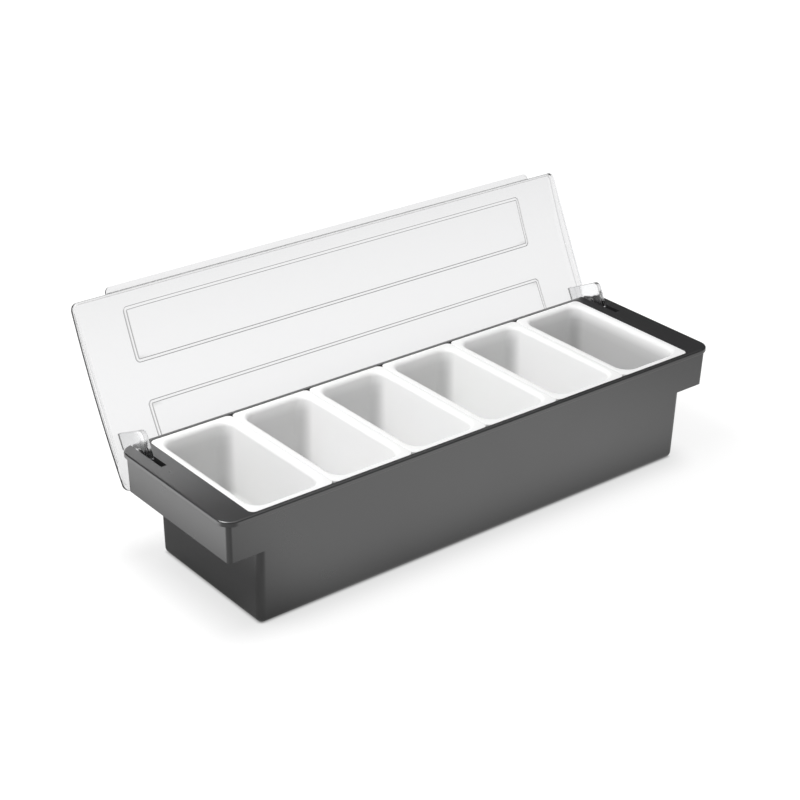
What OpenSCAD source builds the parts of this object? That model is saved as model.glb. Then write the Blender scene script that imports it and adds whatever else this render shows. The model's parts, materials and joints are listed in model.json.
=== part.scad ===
// Bar caddy for cut fruit and garnishes: a long moulded housing with a deck
// and two hollow ears, six lift-out inserts hanging side by side in it, and
// one clear lid whose hooked arms turn on pins inside the ears.
// X runs along the length, Y from the front to the back, Z up. The origin is
// the middle of the flat base. The lid is drawn open, leaning on the back wall.

/* [Inserts] */
// Distance from one insert to the next
insert_pitch = 75; // [68:0.5:90]
// Front to back size of an insert's flange
insert_depth = 138; // [128:0.5:150]
// Height of an insert from the underside of its floor to its top
insert_height = 68.2; // [50:0.1:85]
// Thickness of an insert's walls and floor
insert_wall = 1.8; // [1.2:0.1:3]
// Thickness of an insert's flange
flange_thickness = 2.6; // [1.6:0.1:4]
// Width of the flange from its edge to the insert's inner wall
flange_width = 7; // [6:0.1:8]
// Radius of the flange's outer corners
flange_corner = 5; // [2:0.5:10]
// Radius of the upright corners of an insert's inside
insert_corner = 11; // [6:0.5:16]
// Radius between an insert's floor and its walls, inside
insert_floor_radius = 14; // [8:0.5:18]
// Draft of an insert's walls, in degrees
insert_draft = 5.7; // [4:0.1:7]
// Gap between neighbouring flanges
insert_gap = 0.3; // [0.2:0.1:1]

/* [Housing] */
// Height of the deck's top above the base
body_height = 99.4; // [95:0.1:125]
// Width of the deck beyond the inserts at either end
deck_width = 24.8; // [24:0.1:40]
// Width of the rim in front of and behind the inserts
rim_strip = 3.65; // [2.5:0.05:10]
// Thickness of the deck
deck_thickness = 3; // [2:0.1:3.6]
// Height of the rim's outer edge
rim_edge = 4.5; // [3.8:0.1:7]
// Radius of the rim's corners, seen from above
rim_corner = 12; // [10:0.5:20]
// Size of the chamfer along the rim's upper outer edge
rim_chamfer = 1.5; // [1.4:0.1:2.5]
// How far the rim stands out from the front wall
rim_front = 3; // [1:0.1:3.2]
// How far the rim stands out from the back wall
rim_back = 3.7; // [2:0.1:4.6]
// How far the rim stands out from the ears' end walls
rim_end = 3.6; // [2.6:0.1:5]
// Thickness of the housing's walls
wall = 2.5; // [1.8:0.1:2.8]
// Thickness of the housing's floor
floor_thickness = 3; // [2:0.1:5]
// Height of the ears' walls below the rim
ear_drop = 31; // [29:0.1:34]
// How much narrower the housing is at the base than under the rim, front to back
base_taper = 4.6; // [0:0.1:8]
// How much shorter the box is at its base than at the ears
base_end_taper = 1.2; // [0:0.1:6]
// How much shorter the ears are at their lower edge than under the rim
ear_taper = 1.6; // [0:0.1:2.4]
// Radius of the box's upright corners and lower edges
box_corner = 6; // [4:0.5:12]
// Radius of the ears' upright corners
ear_corner = 4; // [3:0.5:8]
// Thickness of the ledge that carries the flanges
ledge_thickness = 3; // [2:0.1:4]
// Gap between the flanges and the edge of their recess
recess_gap = 0.35; // [0.2:0.05:1]
// Gap between an insert and the hole or wall beside it
insert_clearance = 0.4; // [0.3:0.05:1.5]
// How far the flanges' tops lie below the deck
flange_sink = 0.2; // [0:0.05:0.8]

/* [Lid] */
// How far the lid's ends lie inside the rim's ends
lid_inset = 1.6; // [0.4:0.1:1.6]
// How far the lid reaches past the rim in front and behind
lid_overhang = 2; // [1:0.1:5]
// Thickness of the lid
lid_thickness = 1.8; // [1.2:0.1:2]
// Height of the lid's side walls at the front and back
lid_edge = 5.2; // [5:0.1:7]
// Rise of the lid's arch between its front and back
lid_rise = 3.7; // [3:0.1:6]
// Radius of the lid's corners
lid_corner = 6; // [3:0.5:10]
// Length of the finger lip on the lid's front
lip_length = 436; // [300:1:440]
// Width of the finger lip
lip_width = 5.2; // [3:0.1:12]
// Radius of the finger lip's corners
lip_corner = 5; // [1:0.1:5]
// Length of the two sunk fields in the lid
field_length = 411; // [300:1:440]
// Front to back size of a sunk field
field_depth = 45.3; // [30:0.1:50]
// Distance between the two sunk fields
field_spacing = 30; // [10:0.5:34]
// How far the sunk fields lie in front of the lid's middle
field_shift = 2; // [0:0.1:4]
// Depth of the sunk fields
field_sink = 0.9; // [0.4:0.1:1.2]
// How far the sunk fields stand out inside the lid
field_bulge = 0.4; // [0:0.1:0.5]
// Radius of the sunk fields' corners
field_corner = 4; // [2:0.5:10]
// Gap under the closed lid
lid_gap = 0.3; // [0.1:0.05:0.6]
// Gap between the open lid and the back wall
lean_gap = 0.3; // [0.15:0.05:1]
// Gap between the lid's end walls and the rim as the lid swings
swing_gap = 0.3; // [0.2:0.05:1]

/* [Hinges] */
// Distance of the arms from the rim's ends
arm_inset = 13; // [12.4:0.1:13.4]
// Thickness of an arm
arm_thickness = 4; // [2.5:0.1:4.5]
// Width of an arm's upright limb, front to back
arm_limb = 13.5; // [10:0.1:16]
// Distance from the pivot to the front of an arm
arm_reach = 28.9; // [27:0.1:33]
// Distance from the closed lid's edge down to the foot of an arm
arm_drop = 34.5; // [32:0.1:35]
// Height of an arm's lower limb
arm_foot = 13; // [8:0.1:14]
// Radius of an arm's outer corner
arm_corner = 5; // [1:0.5:8]
// Radius of the hub at the end of an arm
hub_radius = 6.5; // [4.5:0.1:6.7]
// Distance of the pivot from the back wall's outer face
pivot_inset = 9.8; // [9.1:0.1:12]
// Distance of the pivot below the deck's top
pivot_drop = 14.9; // [13:0.1:16]
// Diameter of the hinge pins
pin_diameter = 4; // [2.5:0.1:5]
// Gap round a pin inside an arm, on the radius
pin_running_gap = 0.08; // [0.02:0.01:0.1]
// Gap round a pin inside the webs, on the radius
pin_seat_gap = 0.01; // [0:0.005:0.02]
// How deep a pin sits in the outer web
pin_seat = 2; // [1.2:0.1:2.6]
// Thickness of the inner webs
web_thickness = 2.7; // [2:0.1:4]
// Distance of the webs' front and lower edges from the pivot
web_margin = 7; // [5:0.1:9]
// Gap at either side of an arm
arm_side_gap = 0.5; // [0.3:0.05:0.8]
// Gap between a swinging arm and the front end of its slot
slot_end_gap = 0.5; // [0.3:0.1:3]
// Depth of the slots' notch in the top of the back wall
notch_sink = 1; // [0.5:0.1:2]

/* [Hidden] */
// Sides of the large circles and of the rounded blends
fine = 96;
coarse = 24;
arch_sides = 720;
skin = 0.01;
overlap = 1;
beyond = 20;

// Number of inserts side by side
insert_count = 6;

// Deck and recess
flange_length = insert_pitch - insert_gap;
recess_length = insert_count * insert_pitch - insert_gap + 2 * recess_gap;
recess_depth = insert_depth + 2 * recess_gap;
rim_length = recess_length + 2 * deck_width;
rim_depth = recess_depth + 2 * rim_strip;
rim_bottom = body_height - rim_edge;
deck_bottom = body_height - deck_thickness;
flange_top = body_height - flange_sink;
ledge_top = flange_top - flange_thickness;
ledge_bottom = ledge_top - ledge_thickness;
ear_bottom = rim_bottom - ear_drop;

// Insert, in its own place
mouth_length = flange_length - 2 * flange_width;
mouth_depth = insert_depth - 2 * flange_width;
cup_length = mouth_length + 2 * insert_wall;
cup_depth = mouth_depth + 2 * insert_wall;
insert_bottom = flange_top - insert_height;
lip_flare = 2.6;

// Size that an insert's outside loses on each side at height z
function cup_loss(z) = tan(insert_draft) * (ledge_top - z);
// Distance from the housing's middle to the outside of the end inserts at height z
function cup_end(z) =
    (insert_count - 1) * insert_pitch / 2 + cup_length / 2 - cup_loss(z);

// Housing walls, as distances from the middle
body_depth_top = rim_depth - rim_front - rim_back;
body_shift = (rim_front - rim_back) / 2;
function body_depth(z) = body_depth_top - base_taper * (1 - z / rim_bottom);
back_wall = body_depth(ear_bottom) / 2 + body_shift;
box_length_ear = 2 * (cup_end(ear_bottom) + insert_clearance + wall);
box_length_base = box_length_ear - base_end_taper;
box_length_top = 2 * (cup_end(ledge_top) + insert_clearance + wall);
ear_length_top = rim_length - 2 * rim_end;
ear_length_low = ear_length_top - ear_taper;
hole_length = 2 * (cup_end(ledge_top) + insert_clearance);
hole_depth = cup_depth + 2 * insert_clearance;
hole_corner = insert_corner + insert_wall;
ledge_length = recess_length + 2 * wall;

// Distance of a pin's end inside its inner web, and how deep the webs run into the wall
pin_recess = 0.2;
web_bite = 0.5;

// Where an arm's two limbs meet its hub, as parts of the hub's radius
hub_side = 0.6;
hub_rise = 0.8;
hub_neck = 1.6;

// Hinge
pivot_y = body_depth(body_height - pivot_drop) / 2 + body_shift - pivot_inset;
pivot_z = body_height - pivot_drop;
arm_x = rim_length / 2 - arm_inset;
slot_width = arm_thickness + 2 * arm_side_gap;
lid_seat = body_height + lid_gap;
arm_front = pivot_y - arm_reach;
arm_low = lid_seat - arm_drop;
sweep = norm([arm_reach - arm_corner, pivot_z - arm_low - arm_corner]) + arm_corner;
slot_front = pivot_y - sqrt(sweep * sweep - pow(deck_bottom - pivot_z, 2)) - slot_end_gap;
web_inner = arm_x - slot_width / 2 - web_thickness;
web_outer = arm_x + slot_width / 2;
ear_wall_inner = ear_length_top / 2 - wall;
pin_start = web_inner + pin_recess;
pin_end = web_outer + pin_seat;

// Lid, closed
lid_length = rim_length - 2 * lid_inset;
lid_depth = rim_depth + 2 * lid_overhang;
arch_radius = (pow(lid_depth / 2, 2) + pow(lid_rise, 2)) / (2 * lid_rise);
arch_center = lid_seat + lid_edge + lid_rise - arch_radius;
field_offset = (field_depth + field_spacing) / 2;

// Radius about the pivot that the rim's rear corners need clear in the lid's end walls
end_offset = lid_length / 2 - lid_thickness - (rim_length / 2 - rim_corner);
end_back = rim_depth / 2 - rim_corner + sqrt(rim_corner * rim_corner - end_offset * end_offset);
end_sweep = norm([end_back - pivot_y, body_height - pivot_z]) + swing_gap;

// Lid, open: its back edge comes to rest against the housing's back wall
lean_rise = lid_seat + lid_edge - lid_thickness - pivot_z;
lean_reach = norm([lid_depth / 2 - pivot_y, lean_rise]);
lean_lead = atan2(lean_rise, lid_depth / 2 - pivot_y);
lid_open = lean_lead + acos((back_wall + lean_gap - pivot_y) / lean_reach);

// Rectangle with round corners, in the middle
module round_rect(length, depth, radius) {
    square([length - 2 * radius, depth], center = true);
    square([length, depth - 2 * radius], center = true);
    for (x = [-1, 1], y = [-1, 1])
        translate([x * (length / 2 - radius), y * (depth / 2 - radius)])
            circle(r = radius, $fn = fine);
}

// Slab with round upright corners between two heights
module slab(length, depth, radius, low, high) {
    translate([0, 0, low])
        linear_extrude(high - low)
            round_rect(length, depth, radius);
}

// Thin coarse slab, one end of a drafted shape
module slice(length, depth, radius, z) {
    for (x = [-1, 1], y = [-1, 1])
        translate([x * (length / 2 - radius), y * (depth / 2 - radius), z])
            cylinder(r = radius, h = skin, $fn = coarse);
}

// Four balls at the lower corners of a drafted shape
module ball_corners(length, depth, radius, z) {
    for (x = [-1, 1], y = [-1, 1])
        translate([x * (length / 2 - radius), y * (depth / 2 - radius), z + radius])
            sphere(r = radius, $fn = coarse);
}

// Outside of the box below the ears, with a round lower edge
module box_outside() {
    translate([0, body_shift, 0])
        hull() {
            ball_corners(box_length_base, body_depth(0), box_corner, 0);
            slice(box_length_ear, body_depth(ear_bottom), box_corner, ear_bottom);
        }
}

// Inside of the box below the ears
module box_inside() {
    translate([0, body_shift, 0])
        hull() {
            slice(box_length_base - 2 * wall, body_depth(0) - 2 * wall,
                box_corner - wall, floor_thickness);
            slice(box_length_ear - 2 * wall, body_depth(ear_bottom) - 2 * wall,
                box_corner - wall, ear_bottom);
        }
}

// Inside of the box between the ears, up to the ledge
module box_neck() {
    translate([0, body_shift, 0])
        hull() {
            slice(box_length_ear - 2 * wall, body_depth(ear_bottom) - 2 * wall,
                box_corner - wall, ear_bottom);
            slice(box_length_top - 2 * wall, body_depth(ledge_bottom) - 2 * wall,
                box_corner - wall, ledge_bottom);
        }
}

// The box's end walls and ledge, kept when the ears are hollowed
module box_core() {
    rotate([90, 0, 0])
        linear_extrude(rim_depth, center = true)
            polygon([
                [-box_length_ear / 2, ear_bottom - overlap],
                [box_length_ear / 2, ear_bottom - overlap],
                [box_length_top / 2, ledge_bottom],
                [ledge_length / 2, ledge_bottom],
                [ledge_length / 2, body_height],
                [-ledge_length / 2, body_height],
                [-ledge_length / 2, ledge_bottom],
                [-box_length_top / 2, ledge_bottom]
            ]);
}

// Outside of both ears, with the front and back walls between them
module ears_outside() {
    translate([0, body_shift, 0])
        hull() {
            slice(ear_length_low, body_depth(ear_bottom), ear_corner, ear_bottom);
            slice(ear_length_top, body_depth(rim_bottom), ear_corner, rim_bottom);
        }
}

// Space inside both ears' walls, up to the deck
module ears_inside() {
    translate([0, body_shift, 0])
        hull() {
            slice(ear_length_low - 2 * wall, body_depth(ear_bottom) - 2 * wall,
                ear_corner - wall, ear_bottom - overlap);
            slice(ear_length_top - 2 * wall, body_depth(rim_bottom) - 2 * wall,
                ear_corner - wall, deck_bottom);
        }
}

// Upright webs beside one arm, hanging from the deck to the pivot
module webs(side) {
    web_front = pivot_y - web_margin;
    web_low = pivot_z - web_margin;
    web_depth = back_wall - web_front;
    web_height = deck_bottom - web_low + skin;
    translate([side > 0 ? web_inner : -web_inner - web_thickness, web_front, web_low])
        cube([web_thickness, web_depth, web_height]);
    outer_thickness = ear_wall_inner - web_outer + web_bite;
    translate([side > 0 ? web_outer : -web_outer - outer_thickness, web_front, web_low])
        cube([outer_thickness, web_depth, web_height]);
}

// Rim and deck in one slab, with a chamfer along its upper outer edge
module rim_slab() {
    hull() {
        slice(rim_length, rim_depth, rim_corner, rim_bottom);
        slice(rim_length, rim_depth, rim_corner, body_height - rim_chamfer - skin);
        slice(rim_length - 2 * rim_chamfer, rim_depth - 2 * rim_chamfer,
            rim_corner - rim_chamfer, body_height - skin);
    }
}

// Slot for one arm, open through the rim at the back
module slot(side) {
    translate([side * arm_x - slot_width / 2, slot_front, rim_bottom - notch_sink])
        cube([slot_width, rim_depth, rim_edge + notch_sink + overlap]);
}

// Cylinder along X between two distances from the middle, on one side
module crossbar(side, from, to, radius) {
    translate([side > 0 ? from : -to, pivot_y, pivot_z])
        rotate([0, 90, 0])
            cylinder(r = radius, h = to - from, $fn = fine);
}

// Long box with a deck round the inserts and two ears that are open below
module housing() {
    color([0.33, 0.33, 0.34])
        difference() {
            union() {
                box_outside();
                ears_outside();
                rim_slab();
            }
            box_inside();
            box_neck();
            difference() {
                ears_inside();
                box_core();
                for (side = [-1, 1])
                    webs(side);
            }
            slab(hole_length, hole_depth, hole_corner, ledge_bottom - overlap, body_height);
            slab(recess_length, recess_depth, flange_corner, ledge_top, body_height + overlap);
            for (side = [-1, 1]) {
                slot(side);
                crossbar(side, web_inner - overlap, pin_end, pin_diameter / 2 + pin_seat_gap);
            }
        }
}

// Outside of an insert below its flange, or its inside if inset by the wall
module cup(inset, floor_z, top_z) {
    loss = cup_loss(floor_z);
    radius = insert_floor_radius + insert_wall - inset;
    hull() {
        slice(cup_length - 2 * inset, cup_depth - 2 * inset,
            insert_corner + insert_wall - inset, top_z - skin);
        ball_corners(cup_length - 2 * (inset + loss), cup_depth - 2 * (inset + loss),
            radius, floor_z);
    }
}

// One lift-out insert, hanging by its flange
module insert(index) {
    color([0.97, 0.97, 0.97])
        translate([(index - (insert_count + 1) / 2) * insert_pitch, 0, 0])
            difference() {
                union() {
                    slab(flange_length, insert_depth, flange_corner, ledge_top, flange_top);
                    cup(0, insert_bottom, ledge_top + 2 * skin);
                }
                cup(insert_wall, insert_bottom + insert_wall, flange_top + skin);
                hull() {
                    slice(mouth_length, mouth_depth, insert_corner, flange_top - lip_flare);
                    slice(mouth_length + 2 * lip_flare, mouth_depth + 2 * lip_flare,
                        insert_corner + lip_flare, flange_top);
                }
            }
}

// Body of everything below an arch that is the given distance inside the lid's top
module below_arch(inset) {
    translate([0, 0, arch_center])
        rotate([0, 90, 0])
            cylinder(r = arch_radius - inset, h = rim_length + beyond, center = true,
                $fn = arch_sides);
}

// Upright block over one sunk field, grown by a margin
module field_block(place, margin) {
    translate([0, place * field_offset - field_shift, 0])
        slab(field_length + 2 * margin, field_depth + 2 * margin, field_corner + margin,
            lid_seat, lid_seat + beyond);
}

// Turns a shape from its closed place to its open one
module opened() {
    translate([0, pivot_y, pivot_z])
        rotate([-lid_open, 0, 0])
            translate([0, -pivot_y, -pivot_z])
                children();
}

// Space under the closed lid, open at the back
module lid_inside() {
    inner_length = lid_length - 2 * lid_thickness;
    inner_depth = lid_depth - lid_thickness + beyond;
    difference() {
        intersection() {
            translate([0, (beyond + lid_thickness) / 2, 0])
                slab(inner_length, inner_depth, lid_corner - lid_thickness,
                    lid_seat - overlap, lid_seat + beyond);
            below_arch(lid_thickness);
        }
        for (place = [-1, 1])
            difference() {
                field_block(place, lid_thickness);
                below_arch(lid_thickness + field_bulge);
            }
    }
}

// Clear arched panel with low walls, two sunk fields and a finger lip in front.
// Its end walls are cut out round the pivot, so that they swing past the rim.
module lid_panel() {
    color([0.86, 0.9, 0.93, 0.45])
        opened()
            difference() {
                union() {
                    intersection() {
                        slab(lid_length, lid_depth, lid_corner, lid_seat, lid_seat + beyond);
                        below_arch(0);
                    }
                    intersection() {
                        translate([0, -lid_depth / 2, 0])
                            slab(lip_length, 2 * lip_width, lip_corner,
                                lid_seat, lid_seat + lid_thickness);
                        translate([0, lid_thickness - lid_depth / 2, 0])
                            translate([-lip_length, -2 * lip_width, lid_seat - overlap])
                                cube([2 * lip_length, 2 * lip_width, beyond]);
                    }
                }
                lid_inside();
                crossbar(1, -rim_length / 2, rim_length / 2, end_sweep);
                for (place = [-1, 1])
                    difference() {
                        field_block(place, 0);
                        below_arch(field_sink);
                    }
            }
}

// Side view of an arm: y as x, height as y
module arm_profile() {
    arm_back = arm_front + arm_limb;
    foot_top = arm_low + arm_foot;
    arm_top = lid_seat + lid_edge + lid_rise;
    translate([arm_front + arm_corner, arm_low + arm_corner])
        circle(r = arm_corner, $fn = fine);
    translate([pivot_y, pivot_z])
        circle(r = hub_radius, $fn = fine);
    polygon([
        [arm_front, arm_top],
        [arm_front, arm_low + arm_corner],
        [arm_front + arm_corner, arm_low],
        [pivot_y - hub_radius, arm_low],
        [pivot_y + hub_side * hub_radius, pivot_z - hub_rise * hub_radius],
        [pivot_y, pivot_z],
        [pivot_y - hub_side * hub_radius, pivot_z + hub_rise * hub_radius],
        [pivot_y - hub_neck * hub_radius, foot_top],
        [arm_back, foot_top],
        [arm_back, arm_top]
    ]);
}

// Clear hooked arm under one end of the lid, with a bore for its pin
module hinge_arm(side) {
    color([0.86, 0.9, 0.93, 0.6])
        opened()
            difference() {
                intersection() {
                    translate([side * arm_x - arm_thickness / 2, 0, 0])
                        rotate([90, 0, 90])
                            linear_extrude(arm_thickness)
                                arm_profile();
                    below_arch(lid_thickness);
                }
                crossbar(side, arm_x - beyond / 2, arm_x + beyond / 2,
                    pin_diameter / 2 + pin_running_gap);
            }
}

// Short steel pin that an arm turns on
module hinge_pin(side) {
    color([0.75, 0.75, 0.77])
        crossbar(side, pin_start, pin_end, pin_diameter / 2);
}

housing();
insert(1);  // insert_1
insert(2);  // insert_2
insert(3);  // insert_3
insert(4);  // insert_4
insert(5);  // insert_5
insert(6);  // insert_6
lid_panel();
hinge_arm(-1);  // hinge_arm_left
hinge_arm(1);  // hinge_arm_right
hinge_pin(-1);  // hinge_pin_left
hinge_pin(1);  // hinge_pin_right
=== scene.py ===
import json
import math

import bpy
import numpy as np
from mathutils import Matrix, Vector


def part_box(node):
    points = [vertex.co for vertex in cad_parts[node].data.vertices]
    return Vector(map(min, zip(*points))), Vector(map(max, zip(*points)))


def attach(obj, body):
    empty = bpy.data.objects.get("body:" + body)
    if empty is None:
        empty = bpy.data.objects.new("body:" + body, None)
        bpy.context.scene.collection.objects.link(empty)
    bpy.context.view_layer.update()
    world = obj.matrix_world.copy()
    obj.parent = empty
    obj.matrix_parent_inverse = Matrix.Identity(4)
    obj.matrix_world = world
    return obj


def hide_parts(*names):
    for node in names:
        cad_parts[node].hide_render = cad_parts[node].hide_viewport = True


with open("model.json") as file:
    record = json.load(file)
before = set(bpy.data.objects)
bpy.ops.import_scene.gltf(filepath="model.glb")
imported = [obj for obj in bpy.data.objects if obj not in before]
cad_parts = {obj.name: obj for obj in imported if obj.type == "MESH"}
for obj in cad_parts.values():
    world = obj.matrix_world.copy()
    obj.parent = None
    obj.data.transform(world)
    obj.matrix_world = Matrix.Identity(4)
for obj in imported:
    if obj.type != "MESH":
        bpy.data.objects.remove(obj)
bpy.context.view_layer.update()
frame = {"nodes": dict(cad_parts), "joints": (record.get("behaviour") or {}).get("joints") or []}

# Camera. It stands to the left of the caddy's front, a little above it, and has a long lens,
# so the long sides hardly converge. The picture leans by less than a degree, and its frame is
# moved by about a pixel.
camera_place = Vector((-0.8739, -1.0358, 0.7723))
camera_azimuth = math.radians(-39.0916)
camera_elevation = math.radians(26.6301)
camera_roll = math.radians(0.8935)
camera_lens = 84.24
camera_shift = (-0.0016, 0.00125)
camera_sensor = 36
nearest_seen = 0.05
farthest_seen = 50

back = Vector((
    math.sin(camera_azimuth) * math.cos(camera_elevation),
    -math.cos(camera_azimuth) * math.cos(camera_elevation),
    math.sin(camera_elevation),
))
level = Vector((0, 0, 1)).cross(back).normalized()
right = math.cos(camera_roll) * level + math.sin(camera_roll) * back.cross(level)
camera = bpy.data.objects.new("camera", bpy.data.cameras.new("camera"))
camera.data.lens = camera_lens
camera.data.sensor_width = camera_sensor
camera.data.shift_x, camera.data.shift_y = camera_shift
camera.data.clip_start = nearest_seen
camera.data.clip_end = farthest_seen
camera_axes = Matrix((right, back.cross(right), back)).transposed()
camera.matrix_world = Matrix.Translation(camera_place) @ camera_axes.to_4x4()
bpy.context.scene.collection.objects.link(camera)
bpy.context.scene.camera = camera
bpy.context.scene.view_settings.view_transform = "Standard"

# Surroundings. Soft light comes evenly from all round, and a large soft lamp hangs high on the
# left. A shiny face mirrors a dim studio with a white ceiling, a pale low wall in front, and a
# floor that glows away from the caddy in reflections, a painted reflection with painted shade
# near the caddy. Seen directly, the floor is white, with a painted shadow round the caddy.
room_light = 0.56
studio_dim = 0.045
wall_direction = (0.1, -0.9, -0.42)
wall_start = 0.6
wall_end = 0.95
wall_white = 0.2
ceiling_start = 0.68
ceiling_end = 0.9
ceiling_white = 1.0
lamp_place = (-1.2, 0.35, 1.95)
lamp_aim = (0, 0, 0.05)
lamp_size = 1.3
lamp_power = 38
floor_size = 14.0
floor_white = 0.2
floor_lift = 0.85
# Seen directly, the floor's glow is dimmed round the caddy's foot, a painted shadow, and more so in
# the crease just under its edge, a painted dark line.
foot_half_length = 0.2137
foot_half_depth = 0.0622
foot_shift = (-0.012, 0.006, 0)
painted_shadow_end = 0.045
painted_shadow_lift = 0.65
far_end = 0.22
far_lift = 0.13
painted_crease_end = 0.006
painted_crease_share = 0.05
# The floor's glow in reflections only, a painted reflection: painted shade near the caddy's base,
# darker at its front left and to the right, and brighter to the left.
gleam_middle = (0.005, 0.14, 0)
gleam_half_length = 0.265
gleam_half_depth = 0.16
gleam_end = 0.1
painted_gleam_lift = 0.68
left_start = -0.26
left_end = -0.34
left_painted_gleam = 0.36
corner_start = (-0.1, 0.03)
corner_end = (-0.27, -0.07)
painted_corner_share = 0.2
right_start = 0.15
right_end = 0.45
painted_right_share = 0.5


def computed(tree, operation, first, second):
    """The sum, product or greater of two sockets."""
    step = tree.nodes.new("ShaderNodeMath")
    step.operation = operation
    tree.links.new(first, step.inputs[0])
    tree.links.new(second, step.inputs[1])
    return step.outputs[0]


def rising(tree, value, start, end, low, high):
    """Goes from low to high, with a level start and end, as a socket goes from start to end."""
    rise = tree.nodes.new("ShaderNodeMapRange")
    rise.interpolation_type = "SMOOTHSTEP"
    for name, number in (("From Min", start), ("From Max", end), ("To Min", low), ("To Max", high)):
        rise.inputs[name].default_value = number
    tree.links.new(value, rise.inputs["Value"])
    return rise.outputs["Result"]


def seen_directly(tree, path):
    """One for a ray from the camera or through a clear piece, and none for any other ray."""
    rays = [path.outputs[name] for name in ("Is Camera Ray", "Is Transmission Ray")]
    return computed(tree, "MAXIMUM", *rays)


room = bpy.data.worlds.new("white_room")
room.use_nodes = True
studio = room.node_tree
wall_glow = studio.nodes["Background"]
wall_glow.inputs["Color"].default_value = (1, 1, 1, 1)
heading = studio.nodes.new("ShaderNodeTexCoord")
to_wall = studio.nodes.new("ShaderNodeVectorMath")
to_wall.operation = "DOT_PRODUCT"
to_wall.inputs[1].default_value = wall_direction
studio.links.new(heading.outputs["Generated"], to_wall.inputs[0])
upward = studio.nodes.new("ShaderNodeSeparateXYZ")
studio.links.new(heading.outputs["Generated"], upward.inputs[0])
mirrored_room = computed(
    studio, "MAXIMUM",
    rising(studio, to_wall.outputs["Value"], wall_start, wall_end, studio_dim, wall_white),
    rising(studio, upward.outputs["Z"], ceiling_start, ceiling_end, studio_dim, ceiling_white))
studio_path = studio.nodes.new("ShaderNodeLightPath")
lit = studio.nodes.new("ShaderNodeMapRange")
lit.inputs["To Min"].default_value = room_light
studio.links.new(studio_path.outputs["Is Glossy Ray"], lit.inputs["Value"])
studio.links.new(mirrored_room, lit.inputs["To Max"])
brightness = computed(studio, "MAXIMUM", seen_directly(studio, studio_path), lit.outputs["Result"])
studio.links.new(brightness, wall_glow.inputs["Strength"])
bpy.context.scene.world = room

floor_mesh = bpy.data.meshes.new("floor_sheet")
floor_half = floor_size / 2
floor_corners = [(-floor_half, -floor_half, 0), (floor_half, -floor_half, 0),
                 (floor_half, floor_half, 0), (-floor_half, floor_half, 0)]
floor_mesh.from_pydata(floor_corners, [], [(0, 1, 2, 3)])
floor_sheet = bpy.data.objects.new("floor_sheet", floor_mesh)
bpy.context.scene.collection.objects.link(floor_sheet)
white_paper = bpy.data.materials.new("white_paper")
white_paper.use_nodes = True
paper = white_paper.node_tree
paper.nodes.clear()
paper_face = paper.nodes.new("ShaderNodeBsdfDiffuse")
paper_face.inputs["Color"].default_value = (floor_white, floor_white, floor_white, 1)
paper_glow = paper.nodes.new("ShaderNodeEmission")
paper_place = paper.nodes.new("ShaderNodeTexCoord")
paper_path = paper.nodes.new("ShaderNodeLightPath")


def distance_outside(middle, half_length, half_depth):
    """Distance on the floor from a rectangle: the length of what is left of each coordinate's
    distance from the middle beyond the half side."""
    distance = paper_place.outputs["Object"]
    for operation, value in (
            ("SUBTRACT", middle), ("ABSOLUTE", None), ("SUBTRACT", (half_length, half_depth, 0)),
            ("MAXIMUM", (0, 0, 0)), ("LENGTH", None)):
        step = paper.nodes.new("ShaderNodeVectorMath")
        step.operation = operation
        paper.links.new(distance, step.inputs[0])
        if value:
            step.inputs[1].default_value = value
        distance = step.outputs["Value" if operation == "LENGTH" else "Vector"]
    return distance


# The glow seen directly: a painted shadow round the caddy's foot that fades out by far_end, and a
# darker painted line in the crease under the caddy's edge.
off_base = distance_outside((0, 0, 0), foot_half_length, foot_half_depth)
off_foot = distance_outside(foot_shift, foot_half_length, foot_half_depth)
floor_glow_with_painted_shadow = computed(
    paper, "ADD",
    rising(paper, off_foot, 0, painted_shadow_end, painted_shadow_lift, floor_lift),
    rising(paper, off_foot, painted_shadow_end, far_end, 0, far_lift))
seen_floor = computed(paper, "MULTIPLY", seen_directly(paper, paper_path), floor_glow_with_painted_shadow)
seen_floor = computed(
    paper, "MULTIPLY", seen_floor, rising(paper, off_base, 0, painted_crease_end, painted_crease_share, 1))

# Seen in reflections only, the floor glows as a painted reflection, with painted shade near the
# caddy's base, more at its front left and towards the right, and more glow towards the left.
spot = paper.nodes.new("ShaderNodeSeparateXYZ")
paper.links.new(paper_place.outputs["Object"], spot.inputs[0])
off_shade = distance_outside(gleam_middle, gleam_half_length, gleam_half_depth)
painted_gleam = computed(
    paper, "ADD",
    rising(paper, off_shade, 0, gleam_end, 0, painted_gleam_lift),
    rising(paper, spot.outputs["X"], left_start, left_end, 0, left_painted_gleam))
near_corner = computed(
    paper, "MULTIPLY",
    rising(paper, spot.outputs["X"], corner_start[0], corner_end[0], 0, 1),
    rising(paper, spot.outputs["Y"], corner_start[1], corner_end[1], 0, 1))
for share in (
        rising(paper, near_corner, 0, 1, 1, painted_corner_share),
        rising(paper, spot.outputs["X"], right_start, right_end, 1, painted_right_share),
        paper_path.outputs["Is Glossy Ray"]):
    painted_gleam = computed(paper, "MULTIPLY", painted_gleam, share)
paper.links.new(computed(paper, "MAXIMUM", seen_floor, painted_gleam), paper_glow.inputs["Strength"])
paper_sum = paper.nodes.new("ShaderNodeAddShader")
paper.links.new(paper_face.outputs[0], paper_sum.inputs[0])
paper.links.new(paper_glow.outputs[0], paper_sum.inputs[1])
paper_out = paper.nodes.new("ShaderNodeOutputMaterial")
paper.links.new(paper_sum.outputs[0], paper_out.inputs["Surface"])
floor_mesh.materials.append(white_paper)

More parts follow.
